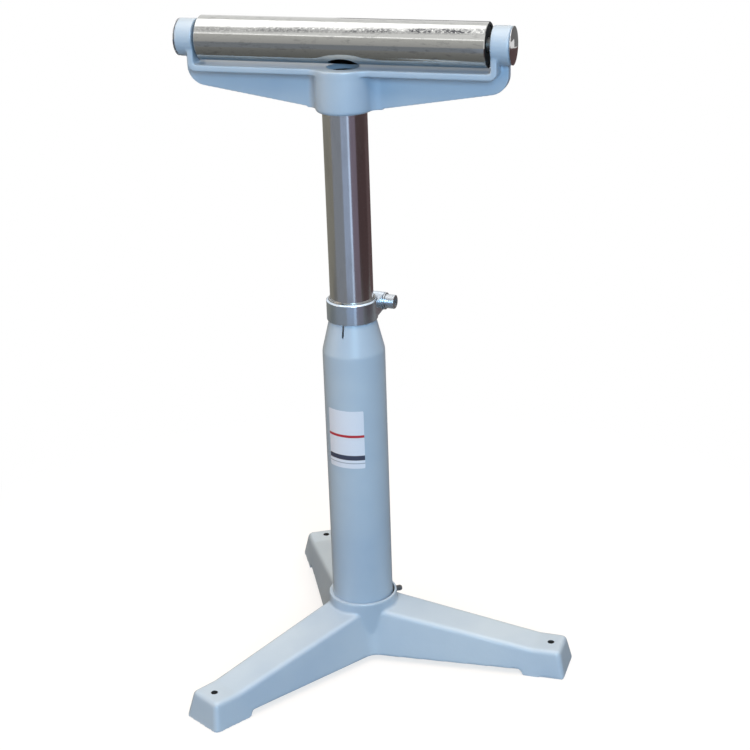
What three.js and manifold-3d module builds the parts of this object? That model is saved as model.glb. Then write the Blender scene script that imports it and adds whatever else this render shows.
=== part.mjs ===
// Roller stand: a cast tripod base carries a fixed column, a clamped mast slides and swivels in the column,
// and a cast yoke on the mast carries a steel roller on ball bearings.
// Millimetres, +Z up. The floor is z = 0, the column stands on the Z axis and the roller lies along X.
import * as THREE from "three";
import { mergeVertices } from "three/addons/utils/BufferGeometryUtils.js";
import Module from "manifold-3d";

const wasm = await Module();
wasm.setup();

// Driving dimensions shared by all pieces.
const GAP = 0.3; // clearance between pieces that touch
const ROUND = 40; // facets round the large turned pieces
const MEDIUM_ROUND = 28; // facets round the yoke's ends, the bearings and the rings inside the column
const SMALL_ROUND = 16; // facets round the small turned pieces
const ARC_STEPS = 4; // facets on a rounded corner
const EDGE_STEPS = 2; // facets on a small rounded edge
const BALL_FACETS = 8;
const PAST = 1; // how far a cutting tool runs past the face that it cuts
const DRAFT = Math.tan(THREE.MathUtils.degToRad(12)); // mould draft on the base's sides

const roller = { axisZ: 821, length: 360, radius: 27, wall: 4, discRecess: 1.5, discThickness: 8 };
const axle = { radius: 9, journal: 7.2, endX: 205.6, groove: 6.6 };
const bearing = { bore: 7.5, outer: 17.5, width: 11, innerX: 192.3, pitch: 12.5, ball: 2.95, balls: 8 };
const circlip = { outer: 9.2, thickness: 1.1 };
const cap = { radius: 22.6, skirtRadius: 19, skirt: 3.5, dome: 3, wall: 1.2 };

const yoke = {
  innerX: 185, thickness: 8, halfDepth: 20, flangeTop: roller.axisZ - 30.5, edge: 2,
  innerCorner: 3, outerCorner: 10,
  bossRadius: 35.5, bossBottom: 737.5, bossEdge: 4, bulgeBlend: 25,
  flangeHole: 20, socketTop: 784,
  webHalf: 6, webSetBack: 7, webBlend: 14, webCorner: 24, webOuterX: 202.5, webNearZ: 738.5, webFarZ: 761,
  endRadius: 23, endX: 207.5, endEdge: 1.5, axleHole: 10,
};

const mast = { radius: 27.5, wall: 4, bottom: 242, top: yoke.socketTop - GAP };
const bush = { outer: 35.2, bottom: 247, height: 30 };
const snapRing = { inner: 26.8, outer: 30, thickness: 2.4, grooveDepth: 1.2 };

const column = {
  radius: 40, wall: 4.5, bottom: 16.3, coneBottom: 429.5, coneTop: 470.6, coneRadius: 30,
  neckRadius: 29.6, top: 499.5, slotWidth: 2.4, slotBottom: 454,
};

const clamp = {
  angle: 85, // polar direction of the split, degrees
  bottom: 471, top: 498, wall: 2.5, chamfer: 1.5, slit: 3.5,
  lugRadius: 11.4, lugOffset: 38.8, lugZ: 483.5, lugHalf: 29, lugEdge: 1,
  gussetFoot: 4, gussetInset: 0.5, gussetHalfHeight: 10.5,
};
const clampScrew = {
  radius: 5.85, hole: 6.2, head: 9, headHeight: 12, tip: 32, socketAcross: 10, socketDepth: 6,
};
const washer = { radius: 11, thickness: 1.8 };

const leg = {
  angles: [0, 120, 240], // polar directions, degrees
  hubTop: 74, footTop: 36.3, flatStart: 238, tip: 274.4,
  hubHalf: 30.5, footHalf: 24, corner: 6, edge: 5,
  clearance: 7, padStart: 228, padSlope: 6,
  pocketStart: 58, pocketEnd: 214, wall: 8,
  holeRadius: 4.5, holeAt: 257.9,
};
const hub = {
  radius: 45.7, top: 82, rim: 1.5, bore: 41.6, boreShift: 1.3, ledgeTop: 16, ledgeRadius: 36,
  filletRadius: 30, filletTop: 62, screwAngle: 30, screwZ: 75.5,
};
const grub = { radius: 4, hole: 4.3, socketAcross: 4, socketDepth: 4 };
const columnGrub = { length: 13.5 };
const yokeGrub = { length: 7.5, z: 760 };

const FINISH = {
  paint: { color: 0x9fb3c8, roughness: 0.45, metalness: 0 },
  chrome: { color: 0xd6d8da, roughness: 0.12, metalness: 1 },
  steel: { color: 0xb4b3ae, roughness: 0.25, metalness: 1 },
  zinc: { color: 0x9ba1a6, roughness: 0.4, metalness: 1 },
  brightCap: { color: 0xc5c9ce, roughness: 0.2, metalness: 1 },
  black: { color: 0x202327, roughness: 0.5, metalness: 0.6 },
  nylon: { color: 0x2c2e31, roughness: 0.6, metalness: 0 },
};

// A closed geometry as a solid that can be joined and cut.
function solid(geometry) {
  const bare = geometry.clone();
  bare.deleteAttribute("normal");
  bare.deleteAttribute("uv");
  const merged = mergeVertices(bare, 1e-4);
  const corners = merged.index.array;
  const triVerts = [];
  for (let i = 0; i < corners.length; i += 3) {
    const [a, b, c] = corners.slice(i, i + 3);
    if (a !== b && b !== c && c !== a) triVerts.push(a, b, c);
  }
  const vertProperties = merged.attributes.position.array;
  return new wasm.Manifold(new wasm.Mesh({ numProp: 3, vertProperties, triVerts: new Uint32Array(triVerts) }));
}

function geometryOf(body) {
  const { vertProperties, triVerts } = body.getMesh();
  const geometry = new THREE.BufferGeometry();
  geometry.setAttribute("position", new THREE.BufferAttribute(vertProperties, 3));
  geometry.setIndex(new THREE.BufferAttribute(triVerts, 1));
  const flat = geometry.toNonIndexed();
  flat.computeVertexNormals();
  return flat;
}

function piece(name, geometry, finish) {
  const mesh = new THREE.Mesh(geometry, new THREE.MeshStandardMaterial(FINISH[finish]));
  mesh.name = name;
  return mesh;
}

// A solid of revolution about Z. The profile's [radius, z] points run anticlockwise and close by themselves.
function turned(profile, facets = ROUND) {
  const closed = [...profile, profile[0]].map(([r, z]) => new THREE.Vector2(r, z));
  return new THREE.LatheGeometry(closed, facets).rotateX(Math.PI / 2);
}

function ring(inner, outer, bottom, top, facets = ROUND) {
  return turned([[inner, bottom], [outer, bottom], [outer, top], [inner, top]], facets);
}

function rod(radius, bottom, top, facets = SMALL_ROUND) {
  return ring(0, radius, bottom, top, facets);
}

// Points on an arc, from one angle to another in radians, as [x, y].
function arc(x, y, radius, from, to, steps = ARC_STEPS) {
  return Array.from({ length: steps + 1 }, (_, i) => {
    const angle = from + ((to - from) * i) / steps;
    return [x + radius * Math.cos(angle), y + radius * Math.sin(angle)];
  });
}

function outline(points) {
  return new THREE.Shape(points.map(([x, y]) => new THREE.Vector2(x, y)));
}

// A plate of the outline's shape between two heights, with its edges rounded by `edge`.
function plate(points, bottom, top, edge = 0) {
  const geometry = new THREE.ExtrudeGeometry(outline(points), {
    depth: top - bottom - 2 * edge,
    bevelEnabled: edge > 0,
    bevelThickness: edge,
    bevelSize: edge,
    bevelOffset: -edge,
    bevelSegments: EDGE_STEPS,
  });
  return geometry.translate(0, 0, bottom + edge);
}

// A plate that stands in the XZ plane: the outline's second coordinate is the height.
function standingPlate(points, halfDepth, edge = 0) {
  return plate(points, -halfDepth, halfDepth, edge).rotateX(Math.PI / 2);
}

// A solid through rings of equally many [x, y, z] points, lowest ring first, each running anticlockwise seen
// from above. `cap` lists the triangles that close one ring.
function loft(rings, cap) {
  const count = rings[0].length;
  const index = [];
  rings.slice(1).forEach((_, level) => {
    for (let i = 0; i < count; i += 1) {
      const a = level * count + i;
      const b = level * count + ((i + 1) % count);
      index.push(a, b, b + count, a, b + count, a + count);
    }
  });
  const last = (rings.length - 1) * count;
  for (const [a, b, c] of cap(count)) index.push(a, c, b, last + a, last + b, last + c);
  const geometry = new THREE.BufferGeometry();
  geometry.setAttribute("position", new THREE.Float32BufferAttribute(rings.flat(2), 3));
  geometry.setIndex(index);
  return geometry.toNonIndexed();
}

// Closes a ring that one of its points can see all of: triangles fan out from the first point.
function fanCap(count) {
  return Array.from({ length: count - 2 }, (_, i) => [0, i + 1, i + 2]);
}

// Closes a ring whose second half mirrors its first: pairs of opposite points make a strip.
function stripCap(count) {
  return Array.from({ length: count / 2 - 1 }, (_, i) => {
    const opposite = count - 1 - i;
    return [[i, i + 1, opposite - 1], [i, opposite - 1, opposite]];
  }).flat();
}

// Height of a leg's top at a distance from the column axis: it slopes down to the flat of the foot.
function legTop(r) {
  const slope = (leg.hubTop - leg.footTop) / leg.flatStart;
  return Math.max(leg.hubTop - slope * r, leg.footTop);
}

function legHalf(r) {
  return THREE.MathUtils.lerp(leg.hubHalf, leg.footHalf, r / leg.tip);
}

// One ring round a leg: `grow` moves the outline outwards and `height` sets z, both by distance from the axis.
function legRing(grow, height) {
  const tipGrow = grow(leg.tip);
  const corner = leg.corner + Math.min(tipGrow, 0);
  const cornerX = leg.tip + tipGrow - corner;
  const cornerY = legHalf(leg.tip) + tipGrow - corner;
  const near = [0, leg.flatStart].map((r) => [r, -legHalf(r) - grow(r), height(r)]);
  const tip = arc(cornerX, -cornerY, corner, -Math.PI / 2, 0).map(([x, y]) => [x, y, height(leg.tip)]);
  const half = [...near, ...tip];
  const mirrored = half.map(([x, y, z]) => [x, -y, z]).reverse();
  return [...half, ...mirrored];
}

// A leg along +X: drafted sides that widen downwards, a sloping top and a rounded top edge.
function legBody() {
  const draftAngle = Math.atan(DRAFT);
  const tangent = leg.edge * Math.tan((Math.PI / 2 - draftAngle) / 2);
  const foot = legRing((r) => legTop(r) * DRAFT, () => 0);
  const edgeRings = arc(-tangent, -leg.edge, leg.edge, draftAngle, Math.PI / 2).map(([grow, drop]) =>
    legRing(() => grow, (r) => legTop(r) + drop),
  );
  return loft([foot, ...edgeRings], stripCap);
}

// The hollow underside of a leg, open below.
function legPocket() {
  const ends = [leg.pocketStart, leg.pocketEnd];
  const level = (height) => {
    const half = ends.map((r) => {
      const width = legHalf(r) + (legTop(r) - height(r)) * DRAFT - leg.wall;
      return [r, -width, height(r)];
    });
    return [...half, ...half.map(([x, y, z]) => [x, -y, z]).reverse()];
  };
  return loft([level(() => -PAST), level((r) => legTop(r) - leg.wall)], stripCap);
}

// What is cut away below a leg, so that only its foot pad reaches the floor.
function legRelief() {
  const profile = [
    [-hub.radius - leg.edge, -PAST],
    [leg.padStart, -PAST],
    [leg.padStart - leg.padSlope, leg.clearance],
    [-hub.radius - leg.edge, leg.clearance],
  ];
  return standingPlate(profile, 2 * hub.radius);
}

// The concave blend between two neighbouring legs, which stand at 60 degrees to +X on either side.
function legBlend() {
  const slope = (leg.hubTop - leg.footTop) / leg.flatStart;
  const taper = (leg.hubHalf - leg.footHalf) / leg.tip + slope * DRAFT;
  const legAngle = Math.PI / 3;
  const normalAngle = legAngle - Math.PI / 2 + Math.atan(taper);
  const stretch = Math.hypot(1, taper);
  const level = (z) => {
    const radius = hub.filletRadius - (hub.filletTop - z) * DRAFT;
    const halfAtAxis = leg.hubHalf + (leg.hubTop - z) * DRAFT;
    const centre = (radius + halfAtAxis / stretch) / Math.cos(normalAngle);
    const curve = arc(centre, 0, radius, Math.PI + normalAngle, Math.PI - normalAngle, 2 * ARC_STEPS);
    return [[0, 0], ...curve.reverse()].map(([x, y]) => [x, y, z]);
  };
  return loft([level(0), level(hub.filletTop)], fanCap);
}

function baseCasting() {
  const toRad = THREE.MathUtils.degToRad;
  const rim = arc(hub.radius - hub.rim, hub.top - hub.rim, hub.rim, 0, Math.PI / 2, EDGE_STEPS);
  let body = solid(turned([[0, 0], [hub.radius, 0], ...rim, [0, hub.top]]));
  const toNextBlend = 180 / leg.angles.length;
  for (const angle of leg.angles) {
    body = body.add(solid(legBody().rotateZ(toRad(angle))));
    body = body.add(solid(legBlend().rotateZ(toRad(angle + toNextBlend))));
  }
  for (const angle of leg.angles) {
    const hole = rod(leg.holeRadius, -PAST, leg.footTop + PAST).translate(leg.holeAt, 0, 0);
    for (const cut of [legPocket(), legRelief(), hole]) {
      body = body.subtract(solid(cut.rotateZ(toRad(angle))));
    }
  }
  const boreX = hub.boreShift * Math.cos(toRad(hub.screwAngle));
  const boreY = hub.boreShift * Math.sin(toRad(hub.screwAngle));
  const bore = rod(hub.bore, hub.ledgeTop, hub.top + PAST, ROUND).translate(boreX, boreY, 0);
  const floorHole = rod(hub.ledgeRadius, -PAST, hub.ledgeTop + PAST, ROUND);
  const screwHole = rod(grub.hole, 0, 2 * hub.radius).rotateY(Math.PI / 2).rotateZ(toRad(hub.screwAngle));
  for (const cut of [bore, floorHole, screwHole.translate(0, 0, hub.screwZ)]) body = body.subtract(solid(cut));
  return geometryOf(body);
}

// A headless screw along +Z with a hexagon socket in its outer end.
function grubScrew(length) {
  const socket = new THREE.CylinderGeometry(
    grub.socketAcross / Math.sqrt(3), grub.socketAcross / Math.sqrt(3), grub.socketDepth + PAST, 6,
  );
  socket.rotateX(Math.PI / 2).translate(0, 0, length - (grub.socketDepth - PAST) / 2);
  return geometryOf(solid(rod(grub.radius, 0, length)).subtract(solid(socket)));
}

function columnTube() {
  const bore = column.radius - column.wall;
  const neckBore = mast.radius + GAP;
  const profile = [
    [bore, column.bottom], [column.radius, column.bottom], [column.radius, column.coneBottom],
    [column.coneRadius, column.coneTop], [column.neckRadius, column.coneTop], [column.neckRadius, column.top],
    [neckBore, column.top], [neckBore, column.coneTop - column.wall], [bore, column.coneBottom],
  ];
  const slotHeight = column.top + PAST - column.slotBottom;
  const slots = new THREE.BoxGeometry(3 * column.radius, column.slotWidth, slotHeight);
  slots.translate(0, 0, column.slotBottom + slotHeight / 2);
  slots.rotateZ(THREE.MathUtils.degToRad(clamp.angle));
  return geometryOf(solid(turned(profile)).subtract(solid(slots)));
}

// The split ring: its split and its screw lugs lie towards +X before the ring is turned to its angle.
function clampRing() {
  const inner = column.neckRadius + GAP;
  const outer = inner + clamp.wall;
  const band = turned([
    [inner, clamp.bottom], [outer - clamp.chamfer / 2, clamp.bottom], [outer, clamp.bottom + clamp.chamfer / 2],
    [outer, clamp.top - clamp.chamfer], [outer - clamp.chamfer, clamp.top], [inner, clamp.top],
  ]);
  const halfWidth = clamp.lugHalf - clamp.lugEdge;
  const footHalf = outer - clamp.gussetInset;
  const gusset = plate(
    [
      [clamp.gussetFoot, -footHalf], [clamp.lugOffset, -halfWidth],
      [clamp.lugOffset, halfWidth], [clamp.gussetFoot, footHalf],
    ],
    clamp.lugZ - clamp.gussetHalfHeight, clamp.lugZ + clamp.gussetHalfHeight,
  );
  const lug = rod(clamp.lugRadius, -clamp.lugHalf, clamp.lugHalf).rotateX(Math.PI / 2);
  const screwHole = rod(clampScrew.hole, -2 * clamp.lugHalf, 2 * clamp.lugHalf).rotateX(Math.PI / 2);
  const slit = new THREE.BoxGeometry(2 * outer, clamp.slit, 2 * (clamp.top - clamp.bottom));
  slit.translate(outer, 0, clamp.lugZ);
  const bore = rod(inner, clamp.bottom - PAST, clamp.top + PAST, ROUND);
  const body = solid(gusset)
    .add(solid(lug.translate(clamp.lugOffset, 0, clamp.lugZ)))
    .subtract(solid(bore))
    .add(solid(band))
    .subtract(solid(slit))
    .subtract(solid(screwHole.translate(clamp.lugOffset, 0, clamp.lugZ)));
  return geometryOf(body);
}

// Socket-head screw along +Z; z = 0 is the underside of its head.
function clampScrewBody() {
  const shankLength = clamp.lugHalf + GAP + washer.thickness + GAP + clampScrew.tip;
  const edge = 1;
  const head = clampScrew.headHeight;
  const body = turned(
    [
      [0, -shankLength], [clampScrew.radius - edge, -shankLength], [clampScrew.radius, edge - shankLength],
      [clampScrew.radius, 0], [clampScrew.head, 0], [clampScrew.head, head - edge],
      [clampScrew.head - edge, head], [0, head],
    ],
    SMALL_ROUND,
  );
  const across = clampScrew.socketAcross / Math.sqrt(3);
  const socket = new THREE.CylinderGeometry(across, across, clampScrew.socketDepth + PAST, 6);
  socket.rotateX(Math.PI / 2).translate(0, 0, head - (clampScrew.socketDepth - PAST) / 2);
  return geometryOf(solid(body).subtract(solid(socket)));
}

function mastTube() {
  const inner = mast.radius - mast.wall;
  const groove = mast.radius - snapRing.grooveDepth;
  const grooveTop = bush.bottom - GAP;
  const grooveBottom = grooveTop - snapRing.thickness - 2 * GAP;
  return turned([
    [inner, mast.bottom], [mast.radius, mast.bottom], [mast.radius, grooveBottom], [groove, grooveBottom],
    [groove, grooveTop], [mast.radius, grooveTop], [mast.radius, mast.top], [inner, mast.top],
  ]);
}

// Plan of one side of the web, from its outer end to the boss: a face at y = `side`, then a concave blend.
function webFlank(side) {
  const reach = yoke.bossRadius + yoke.webBlend;
  const blendY = side + yoke.webBlend;
  const blendX = Math.sqrt(reach ** 2 - blendY ** 2);
  const blend = arc(blendX, blendY, yoke.webBlend, -Math.PI / 2, -Math.PI / 2 - Math.acos(blendY / reach));
  return [[yoke.webOuterX, side], ...blend, [0, blend.at(-1)[1]]];
}

// One arm of the yoke along +X: half of the U-shaped strap, the web under it and the bearing boss at its end.
// The web is set back from the strap's middle.
function yokeArm() {
  const outerX = yoke.innerX + yoke.thickness;
  const flangeBottom = yoke.flangeTop - yoke.thickness;
  const { innerCorner, outerCorner } = yoke;
  const strap = standingPlate(
    [
      [-yoke.edge, flangeBottom],
      ...arc(outerX - outerCorner, flangeBottom + outerCorner, outerCorner, -Math.PI / 2, 0),
      [outerX, roller.axisZ], [yoke.innerX, roller.axisZ],
      ...arc(yoke.innerX - innerCorner, yoke.flangeTop + innerCorner, innerCorner, 0, -Math.PI / 2),
      [-yoke.edge, yoke.flangeTop],
    ],
    yoke.halfDepth, yoke.edge,
  );
  const webTop = roller.axisZ - yoke.endRadius + yoke.thickness;
  const middleOfStrap = yoke.innerX + yoke.thickness / 2;
  const cornerZ = yoke.webFarZ + yoke.webCorner;
  const webSide = standingPlate(
    [
      [0, yoke.webNearZ], [yoke.bossRadius, yoke.webNearZ],
      ...arc(yoke.webOuterX - yoke.webCorner, cornerZ, yoke.webCorner, -Math.PI / 2, 0),
      [yoke.webOuterX - yoke.endEdge, webTop], [middleOfStrap, webTop],
      [middleOfStrap, flangeBottom + PAST], [0, flangeBottom + PAST],
    ],
    yoke.bossRadius,
  );
  const back = webFlank(yoke.webHalf + yoke.webSetBack);
  const front = webFlank(yoke.webHalf - yoke.webSetBack).map(([x, y]) => [x, -y]).reverse();
  const webPlan = plate([...back, ...front], yoke.bossBottom, roller.axisZ);
  const end = turned([
    [0, yoke.innerX], [yoke.endRadius, yoke.innerX],
    ...arc(yoke.endRadius - yoke.endEdge, yoke.endX - yoke.endEdge, yoke.endEdge, 0, Math.PI / 2, EDGE_STEPS),
    [0, yoke.endX],
  ], MEDIUM_ROUND);
  end.rotateY(Math.PI / 2).translate(0, 0, roller.axisZ);
  return solid(webSide).intersect(solid(webPlan)).add(solid(strap)).add(solid(end));
}

// The flange swells round the mast socket: a disc with concave blends into the strap's edges.
function yokeBulge() {
  const reach = yoke.bossRadius + yoke.bulgeBlend;
  const blendY = yoke.halfDepth - yoke.edge + yoke.bulgeBlend;
  const blendX = Math.sqrt(reach ** 2 - blendY ** 2);
  const turn = Math.acos(blendY / reach);
  const right = arc(blendX, blendY, yoke.bulgeBlend, -Math.PI / 2, -Math.PI / 2 - turn);
  const front = arc(0, 0, yoke.bossRadius, Math.PI / 2 - turn, Math.PI / 2, ARC_STEPS);
  const quarter = [...right, ...front.slice(1)];
  const half = [...quarter, ...quarter.slice(0, -1).map(([x, y]) => [-x, y]).reverse()];
  const whole = [...half, ...half.map(([x, y]) => [-x, -y])];
  return plate(whole, yoke.flangeTop - yoke.thickness, yoke.flangeTop, yoke.edge);
}

function yokeCasting() {
  const { bossRadius, bossBottom, bossEdge } = yoke;
  const foot = arc(bossRadius - bossEdge, bossBottom + bossEdge, bossEdge, -Math.PI / 2, 0);
  const shoulder = yoke.flangeTop - yoke.edge;
  const boss = turned([[0, bossBottom], ...foot, [bossRadius, shoulder], [0, shoulder]]);
  const armAlongX = yokeArm();
  let body = solid(boss).add(solid(yokeBulge())).add(armAlongX).add(armAlongX.mirror([1, 0, 0]));
  const seat = bearing.outer + GAP;
  const mouth = cap.skirtRadius + GAP;
  for (const side of [-1, 1]) {
    const bore = turned(
      [
        [0, yoke.innerX - PAST], [yoke.axleHole, yoke.innerX - PAST], [yoke.axleHole, bearing.innerX - GAP],
        [seat, bearing.innerX - GAP], [seat, yoke.endX - cap.skirt - GAP],
        [mouth, yoke.endX - cap.skirt - GAP], [mouth, yoke.endX + PAST], [0, yoke.endX + PAST],
      ],
      MEDIUM_ROUND,
    );
    bore.rotateY((side * Math.PI) / 2).translate(0, 0, roller.axisZ);
    body = body.subtract(solid(bore));
  }
  const socket = rod(mast.radius + GAP, bossBottom - PAST, yoke.socketTop, ROUND);
  const hole = rod(yoke.flangeHole, bossBottom, yoke.flangeTop + PAST, ROUND);
  const grubHole = rod(grub.hole, 0, 2 * bossRadius).rotateX(-Math.PI / 2).translate(0, 0, yokeGrub.z);
  for (const cut of [socket, hole, grubHole]) body = body.subtract(solid(cut));
  return geometryOf(body);
}

// Bearing pieces lie about Z, from z = 0 at the inner face; their grooves clear the balls by a little.
function raceProfile(edgeRadius, side) {
  const middle = bearing.width / 2;
  const grooveRadius = bearing.ball + GAP;
  const half = 0.65; // half of the angle that a groove wraps, in radians
  const centre = side > 0 ? 0 : Math.PI;
  const groove = arc(bearing.pitch, middle, grooveRadius, centre + half, centre - half);
  const shoulder = groove[0][0];
  if (side > 0) {
    return [[shoulder, 0], [edgeRadius, 0], [edgeRadius, bearing.width], [shoulder, bearing.width], ...groove];
  }
  return [[edgeRadius, 0], [shoulder, 0], ...groove, [shoulder, bearing.width], [edgeRadius, bearing.width]];
}

function ballCage() {
  const cageHalf = { radial: 1, axial: 1.1 };
  const middle = bearing.width / 2;
  let body = solid(
    ring(
      bearing.pitch - cageHalf.radial, bearing.pitch + cageHalf.radial,
      middle - cageHalf.axial, middle + cageHalf.axial, SMALL_ROUND,
    ),
  );
  for (let i = 0; i < bearing.balls; i += 1) {
    const angle = (2 * Math.PI * i) / bearing.balls;
    const ball = new THREE.SphereGeometry(bearing.ball, BALL_FACETS, BALL_FACETS / 2);
    ball.translate(bearing.pitch * Math.cos(angle), bearing.pitch * Math.sin(angle), middle);
    body = body.add(solid(ball));
  }
  return geometryOf(body);
}

// Pressed dust cap along +Z: z = 0 is the inner end of its skirt, and its domed head is wider than the skirt.
function dustCap() {
  const inner = cap.skirtRadius - cap.wall;
  const sphere = (cap.radius ** 2 + cap.dome ** 2) / (2 * cap.dome);
  const centre = cap.skirt + cap.wall + cap.dome - sphere;
  const outside = arc(0, centre, sphere, Math.PI / 2 - Math.asin(cap.radius / sphere), Math.PI / 2);
  const shell = sphere - cap.wall;
  const inside = arc(0, centre, shell, Math.PI / 2, Math.PI / 2 - Math.asin(inner / shell));
  const skirt = [[inner, 0], [cap.skirtRadius, 0], [cap.skirtRadius, cap.skirt], [cap.radius, cap.skirt]];
  return turned([...skirt, ...outside, ...inside], MEDIUM_ROUND);
}

function rollerAxle() {
  const shoulder = bearing.innerX - GAP;
  const grooveStart = bearing.innerX + bearing.width + GAP / 2;
  const grooveEnd = grooveStart + circlip.thickness + GAP;
  const half = [
    [axle.radius, shoulder], [axle.journal, shoulder], [axle.journal, grooveStart], [axle.groove, grooveStart],
    [axle.groove, grooveEnd], [axle.journal, grooveEnd], [axle.journal, axle.endX],
  ];
  const lower = half.map(([r, z]) => [r, -z]).reverse();
  return turned([[0, -axle.endX], ...lower, ...half, [0, axle.endX]], SMALL_ROUND);
}

function stand() {
  const group = new THREE.Group();
  const screwRad = THREE.MathUtils.degToRad(hub.screwAngle);
  const columnScrew = piece("column_set_screw", grubScrew(columnGrub.length), "black");
  const start = column.radius + GAP;
  columnScrew.position.set(start * Math.cos(screwRad), start * Math.sin(screwRad), hub.screwZ);
  columnScrew.rotation.set(0, Math.PI / 2, screwRad, "ZYX");
  const clampGroup = new THREE.Group();
  clampGroup.rotation.z = THREE.MathUtils.degToRad(clamp.angle);
  const clampWasher = piece(
    "clamp_washer", ring(clampScrew.hole, washer.radius, 0, washer.thickness, SMALL_ROUND), "zinc",
  );
  clampWasher.position.set(clamp.lugOffset, -clamp.lugHalf - GAP, clamp.lugZ);
  clampWasher.rotation.x = Math.PI / 2;
  const screw = piece("clamp_screw", clampScrewBody(), "zinc");
  screw.position.set(clamp.lugOffset, clampWasher.position.y - washer.thickness - GAP, clamp.lugZ);
  screw.rotation.x = Math.PI / 2;
  clampGroup.add(piece("clamp_ring", clampRing(), "zinc"), screw, clampWasher);
  group.add(piece("base_casting", baseCasting(), "paint"), columnScrew);
  group.add(piece("column_tube", columnTube(), "paint"), clampGroup);
  return group;
}

function slidingMast() {
  const group = new THREE.Group();
  const ringBottom = bush.bottom - 2 * GAP - snapRing.thickness;
  const guide = ring(mast.radius + 2 * GAP, bush.outer, bush.bottom, bush.bottom + bush.height, MEDIUM_ROUND);
  const stop = ring(snapRing.inner, snapRing.outer, ringBottom, ringBottom + snapRing.thickness, MEDIUM_ROUND);
  const yokeScrew = piece("yoke_set_screw", grubScrew(yokeGrub.length), "black");
  yokeScrew.position.set(0, mast.radius + GAP, yokeGrub.z);
  yokeScrew.rotation.x = -Math.PI / 2;
  group.add(piece("mast_tube", mastTube(), "chrome"), piece("mast_guide_bush", guide, "nylon"));
  group.add(piece("mast_snap_ring", stop, "steel"), piece("yoke_casting", yokeCasting(), "paint"), yokeScrew);
  return group;
}

// The roller and its bearings, about Z here; the group is then laid along X.
function rollerAndBearings() {
  const group = new THREE.Group();
  const half = roller.length / 2;
  const inner = roller.radius - roller.wall;
  group.add(piece("roller_tube", ring(inner, roller.radius, -half, half), "steel"));
  group.add(piece("roller_axle", rollerAxle(), "steel"));
  for (const [side, turn] of [["left", Math.PI], ["right", 0]]) {
    const end = new THREE.Group();
    end.rotation.x = turn;
    const at = (mesh, z) => {
      mesh.position.z = z;
      end.add(mesh);
    };
    const disc = ring(axle.radius + GAP, inner - GAP, 0, roller.discThickness, MEDIUM_ROUND);
    const clip = ring(axle.groove + GAP, circlip.outer, 0, circlip.thickness, SMALL_ROUND);
    const outerRace = turned(raceProfile(bearing.outer, 1), MEDIUM_ROUND);
    const innerRace = turned(raceProfile(bearing.bore, -1), MEDIUM_ROUND);
    at(piece(`roller_end_disc_${side}`, disc, "black"), half - roller.discRecess - roller.discThickness);
    at(piece(`bearing_outer_race_${side}`, outerRace, "steel"), bearing.innerX);
    at(piece(`bearing_inner_race_${side}`, innerRace, "steel"), bearing.innerX);
    at(piece(`bearing_ball_cage_${side}`, ballCage(), "steel"), bearing.innerX);
    at(piece(`axle_circlip_${side}`, clip, "black"), bearing.innerX + bearing.width + GAP);
    at(piece(`dust_cap_${side}`, dustCap(), "brightCap"), yoke.endX - cap.skirt + GAP);
    group.add(end);
  }
  group.position.z = roller.axisZ;
  group.rotation.y = Math.PI / 2;
  return group;
}

const rollerStand = new THREE.Group();
rollerStand.add(stand(), slidingMast(), rollerAndBearings());

export default rollerStand;
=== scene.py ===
import math

import bmesh
import bpy
from mathutils import Euler, Matrix, Vector


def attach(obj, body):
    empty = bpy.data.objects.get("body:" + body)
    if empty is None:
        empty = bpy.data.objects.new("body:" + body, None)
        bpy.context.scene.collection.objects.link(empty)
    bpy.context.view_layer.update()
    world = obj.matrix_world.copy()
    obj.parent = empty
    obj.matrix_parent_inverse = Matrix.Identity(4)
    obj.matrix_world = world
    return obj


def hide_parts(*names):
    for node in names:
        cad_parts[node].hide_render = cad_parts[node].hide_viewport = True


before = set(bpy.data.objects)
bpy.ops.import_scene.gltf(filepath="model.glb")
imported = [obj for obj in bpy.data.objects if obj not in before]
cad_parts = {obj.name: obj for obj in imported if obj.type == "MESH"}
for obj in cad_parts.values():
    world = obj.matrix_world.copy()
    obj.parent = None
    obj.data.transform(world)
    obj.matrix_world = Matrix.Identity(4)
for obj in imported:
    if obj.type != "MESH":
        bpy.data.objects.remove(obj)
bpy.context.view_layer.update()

# Studio: a plain pale floor and surround, a large soft lamp overhead, and weaker ones in front, at the left
# and behind. Cards that only reflections see stand round the object, as when bright metal is photographed:
# dark ones, a strip, a ceiling and a tube. The camera is in front, a little to the right, and looks down.
MM, QUARTER = 0.001, math.pi / 2
scene = bpy.context.scene
scene.view_settings.view_transform = "Standard"

CAMERA_PLACE = (0.64217, -1.92702, 1.20919)
CAMERA_HEADING, CAMERA_TILT, CAMERA_ROLL = math.radians(17.7), math.radians(21.92), math.radians(-1.93)
CAMERA_LENS, CAMERA_SENSOR = 81.95, 36.0
aim = Euler((QUARTER - CAMERA_TILT, 0, CAMERA_HEADING)).to_matrix() @ Matrix.Rotation(CAMERA_ROLL, 3, "Z")
bpy.ops.object.camera_add(location=CAMERA_PLACE, rotation=aim.to_euler())
scene.camera = bpy.context.object
scene.camera.data.lens = CAMERA_LENS
scene.camera.data.sensor_width = CAMERA_SENSOR


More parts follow.
